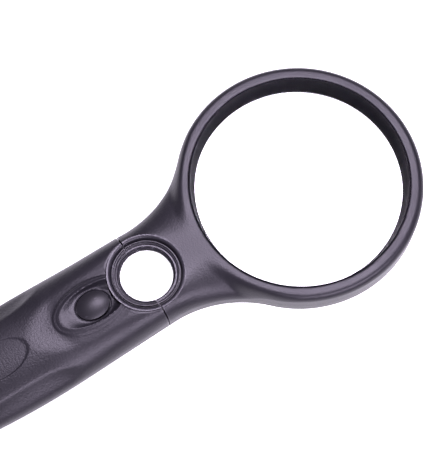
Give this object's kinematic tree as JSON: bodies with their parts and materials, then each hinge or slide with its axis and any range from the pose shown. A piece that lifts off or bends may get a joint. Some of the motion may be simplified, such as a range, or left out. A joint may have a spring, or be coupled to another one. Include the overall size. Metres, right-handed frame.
{
  "type": "low vision magnifier",
  "caption": "Hand-held illuminated magnifier with a large round lens, a small strong lens in the neck, an oval push button and a battery handle.",
  "frame": {"origin": "under the middle of the overall length and width, on the plane that the back rests on", "axes": "+X from the handle's tail to the round head, +Z out of the front face along both lenses' axes"},
  "size_m": [0.191, 0.087, 0.0179],
  "materials": {
    "housing_plastic": "fine-textured black moulding",
    "ring_plastic": "smooth black moulding",
    "button_plastic": "satin black moulding",
    "lens_clear": "clear polished acrylic",
    "window_clear": "clear moulding",
    "lamp_epoxy": "clear epoxy",
    "switch_plastic": "moulded",
    "plunger_plastic": "moulded",
    "tray_plastic": "moulded",
    "board": "glass-epoxy circuit board",
    "resistor_body": "painted ceramic",
    "cell_can": "printed sleeve on a steel can",
    "contact_steel": "nickel plated",
    "screw_steel": "zinc plated",
    "wire_red_pvc": "insulation",
    "wire_black_pvc": "insulation"
  },
  "bodies": {
    "root": {"head_front_frame": "housing_plastic", "head_rear_frame": "housing_plastic", "handle_front_cover": "housing_plastic", "handle_back_shell": "housing_plastic", "lens_retaining_ring": "ring_plastic", "small_lens_retainer": "ring_plastic", "main_lens": "lens_clear", "small_lens": "lens_clear", "switch_body": "switch_plastic", "switch_spring": "contact_steel", "switch_board": "board", "resistor": "resistor_body", "battery_left": "cell_can", "battery_centre": "cell_can", "battery_right": "cell_can", "positive_contacts": "contact_steel", "negative_contacts": "contact_steel", "battery_tray": "tray_plastic", "led_board": "board", "led_left": "lamp_epoxy", "led_centre": "lamp_epoxy", "led_right": "lamp_epoxy", "led_window": "window_clear", "wire_red": "wire_red_pvc", "wire_black": "wire_black_pvc", "housing_screws": "screw_steel"},
    "button": {"switch_button": "button_plastic", "switch_plunger": "plunger_plastic"},
    "door": {"battery_door": "housing_plastic"}
  },
  "joints": [
    {"name": "button_press", "type": "slide", "parent": "root", "child": "button", "axis": [0, 0, -1], "range_m": [0, 0.0012], "stiffness_N_per_m": 900, "deforming": ["switch_spring"]},
    {"name": "door_slide", "type": "slide", "parent": "root", "child": "door", "axis": [-1, 0, 0], "range_m": [0, 0.012]}
  ]
}
